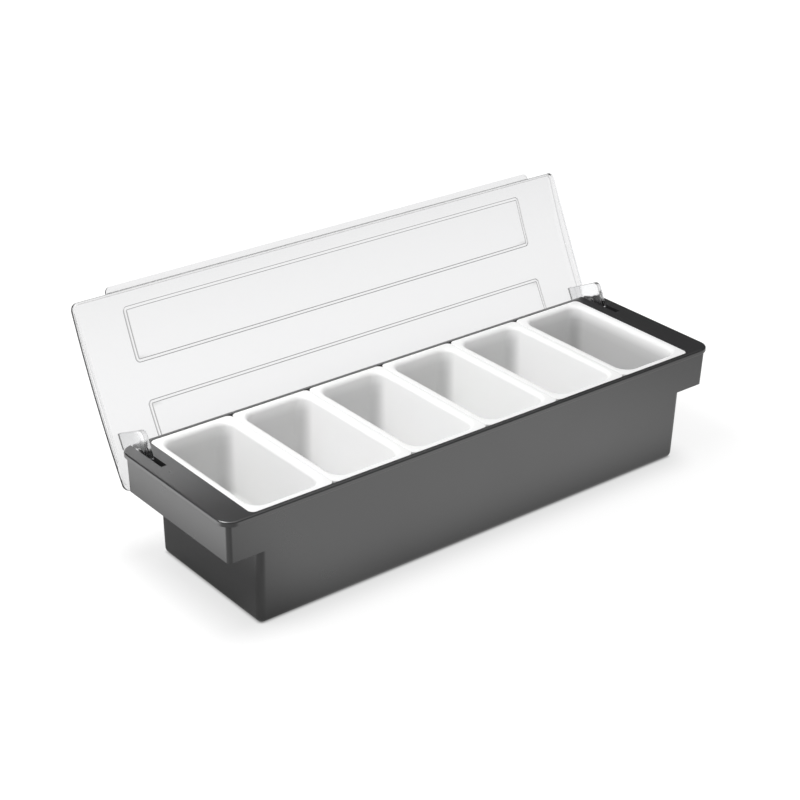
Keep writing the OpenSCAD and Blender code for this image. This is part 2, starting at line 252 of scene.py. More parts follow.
lamp = bpy.data.lights.new("high_lamp", "AREA")
lamp.shape = "SQUARE"
lamp.size = lamp_size
lamp.energy = lamp_power
lamp_holder = bpy.data.objects.new("high_lamp", lamp)
lamp_turn = (Vector(lamp_aim) - Vector(lamp_place)).to_track_quat("-Z", "Y")
lamp_holder.matrix_world = Matrix.Translation(lamp_place) @ lamp_turn.to_matrix().to_4x4()
bpy.context.scene.collection.objects.link(lamp_holder)

# Housing. One moulding of charcoal plastic: a box with a drafted wall, a rim and deck round its
# top, and a hollow ear at either end. A recess holds the inserts, and two slots let the lid's arms
# through to their pins.
housing_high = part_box("housing")[1]
rim_half_length = housing_high.x
rim_half_depth = housing_high.y
deck_height = housing_high.z
rim_corner = 0.012
rim_foot_round = 0.0008
rim_round = 0.0015
rim_edge = 0.0045
rim_front = 0.003
rim_back = 0.0037
rim_end = 0.0036
wall = 0.0025
floor_thickness = 0.003
ear_drop = 0.031
ear_taper = 0.0016
ear_corner = 0.004
base_taper = 0.0046
base_end_taper = 0.0012
box_corner = 0.006
base_round = 0.0055
box_half_length = 0.219286
box_half_length_top = 0.22255
ledge_half_length = 0.2277
ledge_height = 0.0966
ledge_thickness = 0.003
hole_half_length = 0.22005
hole_half_depth = 0.0642
hole_corner = 0.0128
recess_half_length = 0.2252
recess_half_depth = 0.06935
recess_corner = 0.005
deck_thickness = 0.003
web_thickness = 0.0027
web_margin = 0.007
slot_width = 0.005
slot_front = 0.02813
arm_inset = 0.013
pin_hole_radius = 0.00201
well_fillet = 0.0035
edge_softness = 0.00035
edge_rows = 3
round_rows = 9
least_radius = 0.0004
cut_over = 0.001
charcoal_colour = (0.022, 0.022, 0.0225)
charcoal_roughness = 0.3
charcoal_specular = 1.0
charcoal_coat = 1.0
charcoal_coat_roughness = 0.26
cloud_scale = 18
cloud_detail = 4
grain_detail = 2
grain_strength = 0.6


def rounded_ring(half_length, half_depth, radius, height, middle_y=0.0, arc_steps=12):
    """A rounded rectangle at one height, as four quarter circles joined by straight sides: each
    corner's middle plus the radius times the angle's cosine and sine."""
    turn = np.linspace(0, np.pi / 2, arc_steps + 1)
    angle = (np.arange(4)[:, None] * np.pi / 2 + turn).ravel()
    corner_x = np.repeat([1, -1, -1, 1], arc_steps + 1) * (half_length - radius)
    corner_y = np.repeat([1, 1, -1, -1], arc_steps + 1) * (half_depth - radius)
    return np.stack([
        corner_x + radius * np.cos(angle),
        middle_y + corner_y + radius * np.sin(angle),
        np.full(angle.size, height),
    ], axis=1)


def skin_over(rings):
    """A closed skin over a stack of rings that have equally many points, with a flat cap at
    either end."""
    rings = np.asarray(rings)
    rows, count = rings.shape[:2]
    here = np.arange(rows - 1)[:, None] * count + np.arange(count)
    after = np.arange(rows - 1)[:, None] * count + (np.arange(count) + 1) % count
    sides = np.stack([here, after, after + count, here + count], axis=-1).reshape(-1, 4)
    first_cap = np.arange(count)[::-1]
    last_cap = (rows - 1) * count + np.arange(count)
    return rings.reshape(-1, 3), sides.tolist() + [first_cap.tolist(), last_cap.tolist()]


def new_piece(name, points, faces):
    """A mesh object at the origin from points and the faces that join them."""
    mesh = bpy.data.meshes.new(name)
    mesh.from_pydata(np.asarray(points).tolist(), [], faces)
    piece = bpy.data.objects.new(name, mesh)
    bpy.context.scene.collection.objects.link(piece)
    return piece


def block(name, low, high):
    """A closed block between two corners, used to add or cut away material."""
    low = np.asarray(low)
    high = np.asarray(high)
    ring = np.array([[0, 0], [1, 0], [1, 1], [0, 1]])
    base = low[:2] + ring * (high[:2] - low[:2])
    rings = [np.column_stack([base, np.full(4, height)]) for height in (low[2], high[2])]
    return new_piece(name, *skin_over(rings))


def rod(name, start_x, end_x, axis_y, axis_z, radius, sides=48):
    """A closed round bar along X between two places: the axis plus the radius times the angle's
    cosine and sine."""
    angle = np.linspace(0, 2 * np.pi, sides, endpoint=False)
    rings = [
        np.column_stack([
            np.full(sides, x), axis_y + radius * np.cos(angle), axis_z + radius * np.sin(angle)])
        for x in (start_x, end_x)
    ]
    return new_piece(name, *skin_over(rings))


def settle(piece):
    """Keeps the mesh that a piece's modifiers give, and drops the modifiers."""
    evaluated = piece.evaluated_get(bpy.context.evaluated_depsgraph_get())
    shaped = bpy.data.meshes.new_from_object(evaluated)
    unshaped = piece.data
    piece.modifiers.clear()
    piece.data = shaped
    bpy.data.meshes.remove(unshaped)


def combine(piece, other, operation):
    """Joins another closed solid to a piece, or cuts it away."""
    step = piece.modifiers.new("combine", "BOOLEAN")
    step.operation = operation
    step.solver = "EXACT"
    step.object = other
    settle(piece)
    bpy.data.objects.remove(other)


def shade(piece, sharpest=40):
    """Shades a piece smooth but for edges that bend by more than an angle in degrees."""
    piece.data.shade_smooth()
    piece.data.set_sharp_from_angle(angle=math.radians(sharpest))


def soften(piece, width, sharpest=40):
    """Rounds the edges of a piece that bend by more than an angle, and shades it."""
    edges = piece.modifiers.new("soft_edges", "BEVEL")
    edges.width = width
    edges.segments = edge_rows
    edges.limit_method = "ANGLE"
    edges.angle_limit = math.radians(sharpest)
    edges.miter_outer = "MITER_ARC"
    settle(piece)
    shade(piece, sharpest)


body_half_depth = rim_half_depth - (rim_front + rim_back) / 2
body_middle = (rim_front - rim_back) / 2
rim_bottom = deck_height - rim_edge
ear_bottom = rim_bottom - ear_drop
deck_bottom = deck_height - deck_thickness
ledge_bottom = ledge_height - ledge_thickness
ear_half_length = rim_half_length - rim_end
hinge = next(joint for joint in frame["joints"] if joint["name"] == "lid_hinge")
pivot_y, pivot_z = hinge["pos_m"][1:]
arm_x = rim_half_length - arm_inset


def body_depth_at(height):
    """Half the housing's depth at a height: it widens evenly from the base to the rim."""
    return body_half_depth - base_taper / 2 * (1 - height / rim_bottom)


quarter_turn = np.linspace(0, np.pi / 2, round_rows)
box_rings = [
    rounded_ring(
        box_half_length - base_end_taper / 2 - base_round * (1 - math.sin(a)),
        body_depth_at(0) - base_round * (1 - math.sin(a)),
        box_corner - base_round * (1 - math.sin(a)), base_round * (1 - math.cos(a)), body_middle)
    for a in quarter_turn
]
box_rings += [
    rounded_ring(box_half_length, body_depth_at(ear_bottom), box_corner, ear_bottom, body_middle),
    rounded_ring(box_half_length_top - wall / 2, body_depth_at(ear_bottom) - wall / 2,
                 box_corner - wall / 2, ledge_bottom + wall / 2, body_middle),
]
housing = new_piece("housing_moulding", *skin_over(box_rings))
ears = new_piece("ears", *skin_over([
    rounded_ring(ear_half_length - ear_taper / 2, body_depth_at(ear_bottom), ear_corner,
                 ear_bottom, body_middle),
    rounded_ring(ear_half_length, body_depth_at(rim_bottom), ear_corner, rim_bottom, body_middle),
    rounded_ring(ear_half_length - wall, body_depth_at(rim_bottom) - wall, ear_corner - wall / 2,
                 rim_bottom + deck_thickness / 2, body_middle),
]))
rim_shape = [
    (rim_foot_round * (1 - math.sin(a)), rim_foot_round * (1 - math.cos(a))) for a in quarter_turn]
rim_shape += [
    (rim_round * (1 - math.cos(a)), rim_edge - rim_round * (1 - math.sin(a)))
    for a in quarter_turn]
rim_rings = [
    rounded_ring(
        rim_half_length - inset, rim_half_depth - inset, rim_corner - inset, rim_bottom + rise)
    for inset, rise in rim_shape
]
rim = new_piece("rim", *skin_over(rim_rings))
combine(housing, ears, "UNION")
combine(housing, rim, "UNION")

well_rings = [
    rounded_ring(box_half_length - base_end_taper / 2 - wall - well_fillet * (1 - math.sin(a)),
                 body_depth_at(0) - wall - well_fillet * (1 - math.sin(a)),
                 max(well_fillet * math.sin(a), least_radius),
                 floor_thickness + well_fillet * (1 - math.cos(a)), body_middle)
    for a in quarter_turn
]
well_rings += [
    rounded_ring(box_half_length - wall, body_depth_at(ear_bottom) - wall, well_fillet,
                 ear_bottom, body_middle),
    rounded_ring(box_half_length_top - wall, body_depth_at(ledge_bottom) - wall, well_fillet,
                 ledge_bottom, body_middle),
]
combine(housing, new_piece("well", *skin_over(well_rings)), "DIFFERENCE")
combine(housing, new_piece("hole", *skin_over([
    rounded_ring(hole_half_length, hole_half_depth, hole_corner, height)
    for height in (ledge_bottom - wall, ledge_height + wall)])), "DIFFERENCE")
combine(housing, new_piece("recess", *skin_over([
    rounded_ring(recess_half_length, recess_half_depth, recess_corner, height)
    for height in (ledge_height, deck_height + wall)])), "DIFFERENCE")

web_inner = arm_x - slot_width / 2 - web_thickness
web_outer = arm_x + slot_width / 2
hollow_half_depth = body_depth_at(ear_bottom) - wall
for side in (-1, 1):
    foot_x = sorted((side * box_half_length, side * (ear_half_length - ear_taper / 2 - wall)))
    top_x = sorted((side * box_half_length_top, side * (ear_half_length - wall)))
    hollow = [
        np.array([[x, y, height] for x, y in (
            (span[0], body_middle - depth), (span[1], body_middle - depth),
            (span[1], body_middle + depth), (span[0], body_middle + depth))])
        for span, depth, height in (
            (foot_x, hollow_half_depth, ear_bottom - wall),
            (top_x, body_depth_at(rim_bottom) - wall, ledge_bottom))
    ]
    combine(housing, new_piece("hollow", *skin_over(hollow)), "DIFFERENCE")
    shelf_x = sorted((side * ledge_half_length, side * (ear_half_length - wall)))
    combine(housing, block(
        "shelf_gap",
        (shelf_x[0], body_middle - hollow_half_depth, ledge_bottom - wall / 2),
        (shelf_x[1], body_middle + hollow_half_depth, deck_bottom)), "DIFFERENCE")
    for near, far in (
            (web_inner, web_inner + web_thickness), (web_outer, ear_half_length - wall / 2)):
        web_x = sorted((side * near, side * far))
        combine(housing, block(
            "web",
            (web_x[0], pivot_y - web_margin, pivot_z - web_margin),
            (web_x[1], body_middle + body_depth_at(ear_bottom) - wall / 2,
             deck_bottom + deck_thickness / 2)), "UNION")
    combine(housing, block(
        "slot",
        (side * arm_x - slot_width / 2, slot_front, rim_bottom - cut_over),
        (side * arm_x + slot_width / 2, rim_half_depth + wall, deck_height + wall)), "DIFFERENCE")
    bore_x = sorted((side * (web_inner - cut_over), side * (web_outer + 2 * cut_over)))
    combine(housing, rod("bore", *bore_x, pivot_y, pivot_z, pin_hole_radius), "DIFFERENCE")
soften(housing, edge_softness)
flat_shading = housing.modifiers.new("flat_shading", "WEIGHTED_NORMAL")
flat_shading.keep_sharp = True
settle(housing)


def new_finish(name):
    """A material with nodes, its node tree and its shader."""
    finish = bpy.data.materials.new(name)
    finish.use_nodes = True
    return finish, finish.node_tree, finish.node_tree.nodes["Principled BSDF"]


def raise_relief(tree, shader, pattern, strength, height):
    """Lets a pattern stand out of a shader's surface by up to a height."""
    relief = tree.nodes.new("ShaderNodeBump")
    relief.inputs["Strength"].default_value = strength
    relief.inputs["Distance"].default_value = height
    tree.links.new(pattern, relief.inputs["Height"])
    tree.links.new(relief.outputs["Normal"], shader.inputs["Normal"])


def cloudy_pattern(tree, scale, detail):
    """A cloudy pattern that is fixed to the piece."""
    place = tree.nodes.new("ShaderNodeTexCoord")
    pattern = tree.nodes.new("ShaderNodeTexNoise")
    pattern.inputs["Scale"].default_value = scale
    pattern.inputs["Detail"].default_value = detail
    tree.links.new(place.outputs["Object"], pattern.inputs["Vector"])
    return pattern


def spread_around(tree, value, low, high):
    """Goes evenly from low to high as a pattern's value goes from none to one."""
    spread = tree.nodes.new("ShaderNodeMapRange")
    spread.inputs["To Min"].default_value = low
    spread.inputs["To Max"].default_value = high
    tree.links.new(value, spread.inputs["Value"])
    return spread.outputs["Result"]


def plastic(name, colour, roughness, grain_size, grain_depth, speckle, roughness_spread):
    """Moulded plastic: a colour that varies a little, a fine grain in relief and uneven gloss."""
    finish, tree, shader = new_finish(name)
    cloud = cloudy_pattern(tree, cloud_scale, cloud_detail)
    tint = tree.nodes.new("ShaderNodeMapRange")
    tint.data_type = "FLOAT_VECTOR"
    for corner, share in (("To_Min_FLOAT3", 1 - speckle), ("To_Max_FLOAT3", 1 + speckle)):
        socket = next(s for s in tint.inputs if s.identifier == corner)
        socket.default_value = [share * level for level in colour]
    tree.links.new(cloud.outputs["Color"], next(s for s in tint.inputs if s.identifier == "Vector"))
    tinted = next(s for s in tint.outputs if s.identifier == "Vector")
    tree.links.new(tinted, shader.inputs["Base Color"])
    gloss = spread_around(
        tree, cloud.outputs["Fac"], roughness - roughness_spread, roughness + roughness_spread)
    tree.links.new(gloss, shader.inputs["Roughness"])
    grain = cloudy_pattern(tree, 1 / grain_size, grain_detail)
    raise_relief(tree, shader, grain.outputs["Fac"], grain_strength, grain_depth)
    return finish


def dress(piece, finish):
    """Gives a piece one finish all over."""
    piece.data.materials.clear()
    piece.data.materials.append(finish)


charcoal = plastic(
    "satin_charcoal", charcoal_colour, charcoal_roughness, grain_size=0.0009,
    grain_depth=0.00003, speckle=0.06, roughness_spread=0.08)
polish = charcoal.node_tree.nodes["Principled BSDF"]
polish.inputs["Specular IOR Level"].default_value = charcoal_specular
polish.inputs["Coat Weight"].default_value = charcoal_coat
polish.inputs["Coat Roughness"].default_value = charcoal_coat_roughness
dress(housing, charcoal)
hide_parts("housing")
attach(housing, "housing_body")

# Inserts. Six tubs moulded in glossy white plastic stand side by side in the recess. Each hangs
# by a flat flange, its mouth rolls softly into drafted walls, and a large radius joins the walls
# to the floor. Shade inside the tubs is painted into their white.
insert_low, insert_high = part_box("insert_1")
flange_half_length = (insert_high.x - insert_low.x) / 2
flange_half_depth = (insert_high.y - insert_low.y) / 2
flange_top = insert_high.z
insert_bottom = insert_low.z
row_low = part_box("insert_1")[0].x
row_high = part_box("insert_6")[1].x
flange_thickness = 0.0026
flange_bottom = flange_top - flange_thickness
flange_width = 0.007
flange_corner = 0.005
flange_round = 0.0004
insert_wall = 0.0018
insert_corner = 0.011
insert_floor_radius = 0.014
insert_draft = math.radians(5.7)
insert_sharpest = 50
mouth_round = 0.004
floor_start_angle = 0.06
foot_rows = 12
leaning_rows = 6
# Painted shade inside the tubs: where it starts and ends below the flange, its strength, and how
# much the walls, ends, floor and corners get.
painted_shade_start = 0.003
painted_shade_end = 0.015
painted_shade_strength = 0.4
wall_painted_shade = 0.62
end_painted_shade = 1.1
floor_painted_shade = 0.4
corner_painted_shade = 0.5
white_colour = (0.88, 0.88, 0.878)
white_roughness = 0.42


def drafted_wall(inset, floor_height, top_height):
    """Rings from a cup's floor, through a quarter round, up its leaning wall to a top height.
    Each ring is half a length, half a depth, a corner radius and a height. The round ends at the
    angle at which it meets the straight line to the top without a kink."""
    loss = math.tan(insert_draft) * (flange_bottom - floor_height)
    foot_radius = insert_floor_radius + insert_wall - inset
    top_radius = insert_corner + insert_wall - inset
    top = np.array([flange_half_length - flange_width + insert_wall - inset,
                    flange_half_depth - flange_width + insert_wall - inset])
    centre = top - loss - foot_radius
    rise = top_height - floor_height - foot_radius
    out = loss + foot_radius
    lean = math.acos(foot_radius / math.hypot(out, rise)) - math.atan2(rise, out)
    rings = [
        [*(centre + foot_radius * math.sin(a)), foot_radius * math.sin(a),
         floor_height + foot_radius * (1 - math.cos(a))]
        for a in np.linspace(floor_start_angle, np.pi / 2 + lean, foot_rows)
    ]
    last = np.array(rings[-1])
    goal = np.array([*top, top_radius, top_height])
    rings += [
        last + (goal - last) * share for share in np.linspace(0, 1, leaning_rows + 1)[1:]]
    return rings


def drawn_in(ring, inset, height):
    """A ring made smaller all round by an inset, or larger by a negative one, at a height."""
    return [*(side - inset for side in ring[:3]), height]


flange = [flange_half_length, flange_half_depth, flange_corner]
outside = drafted_wall(0.0, insert_bottom, flange_bottom)
inside = drafted_wall(insert_wall, insert_bottom + insert_wall, flange_top - mouth_round)
mouth = inside[-1]
under = [
    drawn_in(flange, flange_round * (1 - math.sin(a)),
             flange_bottom + flange_round * (1 - math.cos(a)))
    for a in quarter_turn[::2]
]
over = [
    drawn_in(flange, flange_round * (1 - math.cos(a)),
             flange_top - flange_round * (1 - math.sin(a)))
    for a in quarter_turn[::2]
]
roll = [
    drawn_in(mouth, -mouth_round * (1 - math.sin(a)), mouth[3] + mouth_round * math.cos(a))
    for a in quarter_turn
]
tub_rings = [rounded_ring(*ring) for ring in (*outside, *under, *over, *roll, *inside[::-1][1:])]


def scaled_colour(tree, name, colour):
    """A colour, or a socket that gives one, times the share that is noted on the piece."""
    share = tree.nodes.new("ShaderNodeAttribute")
    share.attribute_name = name
    tint = tree.nodes.new("ShaderNodeVectorMath")
    tint.operation = "SCALE"
    if isinstance(colour, tuple):
        tint.inputs[0].default_value = colour
    else:
        tree.links.new(colour, tint.inputs[0])
    tree.links.new(share.outputs["Fac"], tint.inputs["Scale"])
    return tint.outputs["Vector"]


glossy_white = plastic(
    "glossy_white", white_colour, white_roughness, grain_size=0.004, grain_depth=0.00002,
    speckle=0.01, roughness_spread=0.04)
white = glossy_white.node_tree
white_face = white.nodes["Principled BSDF"]
# The white is scaled down by the painted shade noted on each tub.
full_white = white_face.inputs["Base Color"].links[0].from_socket
white.links.new(scaled_colour(white, "share_of_white", full_white), white_face.inputs["Base Color"])


def mesh_rows(values, name):
    """What a mesh says of each of its points, as an array with three columns."""
    row = np.empty(len(values) * 3)
    values.foreach_get(name, row)
    return row.reshape(-1, 3)


def note(piece, name, values):
    """Writes a value for each point of a piece, for its material to read."""
    written = piece.data.attributes.new(name, "FLOAT", "POINT")
    written.data.foreach_set("value", values)


def eased(share):
    """Goes from none to one with a level start and end: three times the square less twice the
    cube."""
    share = np.clip(share, 0, 1)
    return share * share * (3 - 2 * share)


def paint_tub_shade(piece, low, high):
    """Notes, for each point of a tub, how much of its white is left by painted shade. The thin wall
    would let some light through, so the painted shade stands where the dark housing is behind it:
    most at the two ends of the row, and less at the front and rear walls, the floor and the upright
    corners, where four times the product of the normal's two level squares is one. The painted
    shade grows with the eased depth below the flange."""
    points = mesh_rows(piece.data.vertices, "co")
    facing = mesh_rows(piece.data.vertex_normals, "vector") ** 2
    at_end = np.where(points[:, 0] < (low.x + high.x) / 2,
                      low.x - row_low < flange_width, row_high - high.x < flange_width)
    painted_amount = (
        wall_painted_shade * facing[:, 1] + end_painted_shade * facing[:, 0] * at_end
        + floor_painted_shade * facing[:, 2] + corner_painted_shade * 4 * facing[:, 0] * facing[:, 1])
    deep = eased((flange_top - points[:, 2] - painted_shade_start) / (painted_shade_end - painted_shade_start))
    note(piece, "share_of_white", 1 - painted_shade_strength * painted_amount * deep)


insert_nodes = sorted(name for name in frame["nodes"] if name.startswith("insert_"))
for node in insert_nodes:
    low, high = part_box(node)
    points, faces = skin_over(tub_rings)
    tub = new_piece(node + "_tub", points + [(low.x + high.x) / 2, 0, 0], faces)
    shade(tub, insert_sharpest)
    paint_tub_shade(tub, low, high)
    dress(tub, glossy_white)
    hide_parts(node)
    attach(tub, node + "_body")

# Lid. One moulding of clear plastic: an arched panel with low walls in front and at the ends,
# two shallow sunk fields that stiffen it, and a narrow lip along the front for the fingers.
lid_end_margin = 0.0016
lid_overhang = 0.002
lid_gap = 0.0003
lid_half_length = rim_half_length - lid_end_margin
lid_half_depth = rim_half_depth + lid_overhang
lid_seat = deck_height + lid_gap
lid_thickness = 0.0018
lid_edge = 0.0052
lid_rise = 0.0037
lid_corner = 0.006
lid_round = 0.0014
inner_fillet = 0.0009
foot_round = 0.0003
field_half_length = 0.2055
field_half_depth = 0.02265
field_middles = (-0.03965, 0.03565)
field_corner = 0.004
field_sink = 0.0009
field_bulge = 0.0004
field_border = 0.0032
field_step = 0.0008
step_share = 0.42
step_rows = 9
step_margin = 0.1
slope_rows = 7
plain_rows = 40
corner_rows = 8
least_spacing = 0.00004
back_drop = 0.0001
lid_sweep = 0.01831
clear_softness = 0.00045
clear_sharpest = 50
lid_open = math.radians(-hinge["range_deg"][0])
arch_radius = (lid_half_depth ** 2 + lid_rise ** 2) / (2 * lid_rise)
arch_centre = lid_seat + lid_edge + lid_rise - arch_radius
core_x = lid_half_length - lid_corner
core_y = lid_half_depth - lid_corner


def swung(points, angle):
    """Turns points about the hinge by an angle: a plane rotation of their Y and Z round the
    pivot."""
    points = np.asarray(points, float)
    turn = np.array([[math.cos(angle), math.sin(angle)], [-math.sin(angle), math.cos(angle)]])
    turned = points.copy()
    turned[..., 1:] = (points[..., 1:] - [pivot_y, pivot_z]) @ turn.T + [pivot_y, pivot_z]
    return turned


def opened(points):
    """Turns points from the closed lid to the open one."""
    return swung(points, lid_open)


def closed(points):
    """Turns points from the open lid back to the closed one."""
    return swung(points, -lid_open)


def field_depth_share(x, y):
    """How far a point has come down into the nearer sunk field, from none at its rim to one on
    its floor. Going inward from the field's rounded outline, the border is a small steep step, a
    gentle slope and a second steep step."""
    shares = []
    for middle in field_middles:
        over_x = np.abs(x) - (field_half_length - field_corner)
        over_y = np.abs(y - middle) - (field_half_depth - field_corner)
        outside_corner = np.hypot(np.maximum(over_x, 0), np.maximum(over_y, 0))
        inward = field_corner - outside_corner - np.minimum(np.maximum(over_x, over_y), 0)
        shares.append(
            step_share * eased(inward / field_step)
            + step_share * eased((inward - field_border) / field_step + 1)
            + (1 - 2 * step_share) * np.clip(inward / field_border, 0, 1))
    return np.maximum(*shares)


def arch_height(y, inset):
    """Height of the arched panel at a distance below its outer face: the arch's centre plus the
    root of the radius squared less the depth squared."""
    return arch_centre + np.sqrt((arch_radius - inset) ** 2 - y ** 2)


def crowded_axis(core, corner, borders):
    """Places along one side of the panel, crowded where the sunk fields' borders and the corners
    lie. Each border is given by its place and by the direction in which its field lies."""
    step = np.linspace(-step_margin, 1 + step_margin, step_rows) * field_step
    slope = np.linspace(0, field_border, slope_rows)[1:-1]
    border = np.concatenate([step, slope, field_border - step])
    crowds = [place + inward * border for place, inward in borders]
    places = np.concatenate([np.linspace(-core, core, plain_rows), *crowds])
    places = np.sort(places[np.abs(places) < core])
    places = places[np.diff(places, prepend=-core) > least_spacing]
    end = core + np.linspace(0, corner, corner_rows)
    return np.concatenate([-end[::-1], places, end])


def panel_grid(inset):
    """The panel's plan as a grid inside the outline by an inset. In each corner, a square is bent
    onto a quarter circle: each side's share is scaled by the root of one less half the square of
    the other's."""
    corner = lid_corner - inset
    borders_x = [(side * field_half_length, -side) for side in (-1, 1)]
    borders_y = [
        (middle + side * field_half_depth, -side) for middle in field_middles for side in (-1, 1)]
    x, y = np.meshgrid(
        crowded_axis(core_x, corner, borders_x), crowded_axis(core_y, corner, borders_y))
    u = np.clip((np.abs(x) - core_x) / corner, 0, 1)
    v = np.clip((np.abs(y) - core_y) / corner, 0, 1)
    in_corner = (u > 0) & (v > 0)
    bent_x = np.sign(x) * (core_x + corner * u * np.sqrt(1 - v * v / 2))
    bent_y = np.sign(y) * (core_y + corner * v * np.sqrt(1 - u * u / 2))
    return np.where(in_corner, bent_x, x), np.where(in_corner, bent_y, y)


def rim_loop(grid):
    """The outer points of a grid, once round."""
    return np.concatenate([grid[0, :-1], grid[:-1, -1], grid[-1, :0:-1], grid[:0:-1, 0]])


outer_x, outer_y = panel_grid(lid_round)
outer_z = arch_height(outer_y, 0) - field_sink * field_depth_share(outer_x, outer_y)
inner_x, inner_y = panel_grid(lid_thickness + inner_fillet)
inner_z = arch_height(inner_y, lid_thickness) - field_bulge * field_depth_share(inner_x, inner_y)
loop_x, loop_y, loop_z = rim_loop(outer_x), rim_loop(outer_y), rim_loop(outer_z)
away = np.stack([
    loop_x - np.clip(loop_x, -core_x, core_x), loop_y - np.clip(loop_y, -core_y, core_y)], axis=1)
away /= np.linalg.norm(away, axis=1, keepdims=True)
edge_x = loop_x + away[:, 0] * lid_round
edge_y = loop_y + away[:, 1] * lid_round
inner_edge_z = rim_loop(inner_z)
open_back = (edge_y > core_y) & (np.abs(edge_x) < lid_half_length - lid_thickness)
past_rim = pivot_z + np.sqrt(np.maximum(lid_sweep ** 2 - (edge_y - pivot_y) ** 2, 0))
foot = np.where(open_back, inner_edge_z - back_drop, np.maximum(lid_seat, past_rim))


def loop_at(inset, height):
    """The panel's outline inside its edge by an inset, at a height."""
    return np.stack([edge_x - away[:, 0] * inset, edge_y - away[:, 1] * inset, height], axis=1)


fillet = np.minimum(inner_fillet, inner_edge_z - foot)
loops = [
    loop_at(lid_round * (1 - math.sin(a)),
            np.maximum(loop_z - lid_round * (1 - math.cos(a)), foot + foot_round))
    for a in quarter_turn[1:]
]
loops += [
    loop_at(foot_round * (1 - math.cos(a)), foot + foot_round * (1 - math.sin(a)))
    for a in quarter_turn[::2]
]
loops += [
    loop_at(lid_thickness - foot_round * (1 - math.sin(a)), foot + foot_round * (1 - math.cos(a)))
    for a in quarter_turn[::2]
]
loops += [
    loop_at(lid_thickness + inner_fillet * (1 - math.cos(a)),
            inner_edge_z - fillet * (1 - math.sin(a)))
    for a in quarter_turn[:-1:2]
]
grid_size = outer_x.size
outer_index = np.arange(grid_size).reshape(outer_x.shape)
inner_index = outer_index + grid_size
loop_index = 2 * grid_size + np.arange(len(loops) * loop_x.size).reshape(len(loops), -1)
panel_quads = np.stack([
    outer_index[:-1, :-1], outer_index[:-1, 1:], outer_index[1:, 1:], outer_index[1:, :-1],
], axis=-1).reshape(-1, 4)
around = np.vstack([rim_loop(outer_index)[None], loop_index, rim_loop(inner_index)[None]])
ahead = np.roll(around, -1, axis=1)
wall_quads = np.stack([around[:-1], around[1:], ahead[1:], ahead[:-1]], axis=-1).reshape(-1, 4)
lid_faces = np.concatenate([panel_quads, (panel_quads + grid_size)[:, ::-1], wall_quads])
lid_points = np.concatenate([
    np.stack([outer_x, outer_y, outer_z], axis=-1).reshape(-1, 3),
    np.stack([inner_x, inner_y, inner_z], axis=-1).reshape(-1, 3),
    np.concatenate(loops)])
lid = new_piece("lid_moulding", opened(lid_points), lid_faces.tolist())

lip_half_length = 0.218
lip_width = 0.0052
lip_corner = 0.005
lip_lift = 0.00005
lip_rows = 10
corner_turn = np.linspace(0, np.pi / 2, lip_rows)
lip_front = -lid_half_depth - lip_width
lip_root = -lid_half_depth + lid_thickness / 2
lip_outline = np.concatenate([
    [[-lip_half_length, lip_root]],
    np.stack([-lip_half_length + lip_corner * (1 - np.cos(corner_turn)),
              lip_front + lip_corner * (1 - np.sin(corner_turn))], axis=1),
    np.stack([lip_half_length - lip_corner * (1 - np.sin(corner_turn)),
              lip_front + lip_corner * (1 - np.cos(corner_turn))], axis=1),
    [[lip_half_length, lip_root]],
])
lip_rings = [np.column_stack([lip_outline, np.full(len(lip_outline), height)])
             for height in (lid_seat + lip_lift, lid_seat + lid_thickness)]
lip_points, lip_faces = skin_over(lip_rings)
lip = new_piece("lip", opened(lip_points), lip_faces)
combine(lid, lip, "UNION")
soften(lid, clear_softness, clear_sharpest)

lid_colour = (0.985, 0.985, 0.99)
lid_bending = 1.4
clear_share = 0.79
# Painted dark lines: the share of light let through on the sunk fields' borders and at the lid's
# edges.
painted_border_share = 0.12
painted_edge_share = 0.6
edge_width = 0.003
lid_haze = 0.045
lid_edge_haze = 0.4
haze_spread = 0.3
wave_scale = 25
wave_detail = 1
wave_strength = 0.2
wave_height = 0.00006


def paint_edge_lines_and_haze(piece, axis, plain_share, painted_least_share, plain_haze, most_haze):
    """Notes how much light each point of a clear piece lets through, and how hazy it is there. A
    dark line is painted into the tint where the surface turns a corner, and the haze is greatest
    there
    too: halfway between facing along the axis and facing across it, six times the square of the
    normal's part along the axis, times what that square leaves of one, at most one."""
    along = (mesh_rows(piece.data.vertex_normals, "vector") @ np.asarray(axis)) ** 2
    turning = np.minimum(6 * along * (1 - along), 1)
    note(piece, "share_let_through", plain_share + (painted_least_share - plain_share) * turning)
    note(piece, "haze", plain_haze + (most_haze - plain_haze) * turning)


def clear_plastic(name, colour, bending):
    """Clear moulded plastic: light passes through it, less at its edges, where dark lines are
    painted into its tint; the edges are hazier too, and a faint unevenness keeps it from being a
    perfect mirror."""
    finish, tree, shader = new_finish(name)
    tree.links.new(scaled_colour(tree, "share_let_through", colour), shader.inputs["Base Color"])
    shader.inputs["Transmission Weight"].default_value = 1
    shader.inputs["IOR"].default_value = bending
    wave = cloudy_pattern(tree, wave_scale, wave_detail)
    haze = tree.nodes.new("ShaderNodeAttribute")
    haze.attribute_name = "haze"
    unevenness = spread_around(tree, wave.outputs["Fac"], 1 - haze_spread, 1 + haze_spread)
    uneven_haze = computed(tree, "MULTIPLY", haze.outputs["Fac"], unevenness)
    tree.links.new(uneven_haze, shader.inputs["Roughness"])
    raise_relief(tree, shader, wave.outputs["Fac"], wave_strength, wave_height)
    return finish


